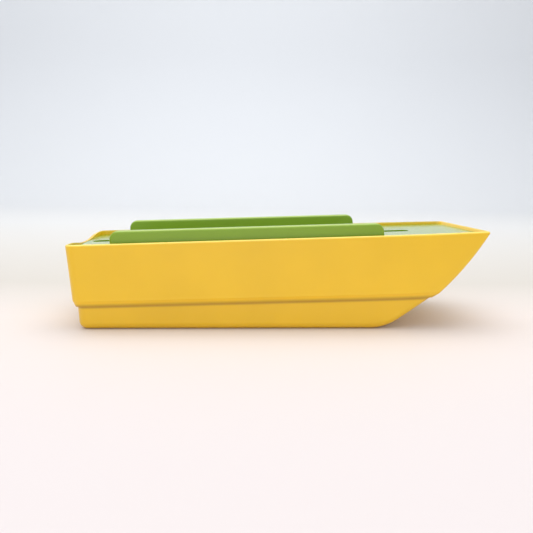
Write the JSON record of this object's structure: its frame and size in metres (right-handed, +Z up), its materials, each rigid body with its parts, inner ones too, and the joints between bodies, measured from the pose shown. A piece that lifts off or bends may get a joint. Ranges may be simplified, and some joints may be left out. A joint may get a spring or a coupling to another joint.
{
  "type": "fleet guessing game case",
  "caption": "Boat-shaped plastic storage case for a two-player fleet guessing game, with lift-off deck, two slot-in peg boards, ships and pegs.",
  "frame": {"origin": "centre of the footprint box, on the surface the case stands on", "axes": "+X towards the bow, +Y towards the far board, +Z up"},
  "size_m": [0.2787, 0.097, 0.0715],
  "materials": {
    "hull_yellow": "satin moulded plastic, warm yellow",
    "deck_green": "satin moulded plastic, leaf green",
    "board_green": "satin moulded plastic, leaf green",
    "panel_green": "fine matt moulded plastic, leaf green",
    "tray_green": "matt moulded plastic, leaf green",
    "ship_grey": "satin moulded plastic, grey",
    "peg_red": "gloss moulded plastic, red",
    "peg_white": "gloss moulded plastic, white"
  },
  "bodies": {
    "hull": {"hull_shell": "hull_yellow", "store_tray": "tray_green", "near_ship_five": "ship_grey", "near_ship_four": "ship_grey", "near_ship_three_a": "ship_grey", "near_ship_three_b": "ship_grey", "near_ship_two": "ship_grey", "near_hit_pegs": "peg_red", "near_miss_pegs": "peg_white", "far_ship_five": "ship_grey", "far_ship_four": "ship_grey", "far_ship_three_a": "ship_grey", "far_ship_three_b": "ship_grey", "far_ship_two": "ship_grey", "far_hit_pegs": "peg_red", "far_miss_pegs": "peg_white"},
    "deck": {"deck_cover": "deck_green"},
    "near_board": {"near_board_shell": "board_green", "near_board_panel": "panel_green"},
    "far_board": {"far_board_shell": "board_green", "far_board_panel": "panel_green"}
  },
  "joints": [
    {"name": "deck_lift", "type": "slide", "parent": "hull", "child": "deck", "axis": [-0.0401, 0, 0.9992], "range_m": [0, 0.06]},
    {"name": "near_board_lift", "type": "slide", "parent": "hull", "child": "near_board", "axis": [-0.0401, 0, 0.9992], "range_m": [0, 0.07]},
    {"name": "far_board_lift", "type": "slide", "parent": "hull", "child": "far_board", "axis": [-0.0401, 0, 0.9992], "range_m": [0, 0.07]}
  ]
}
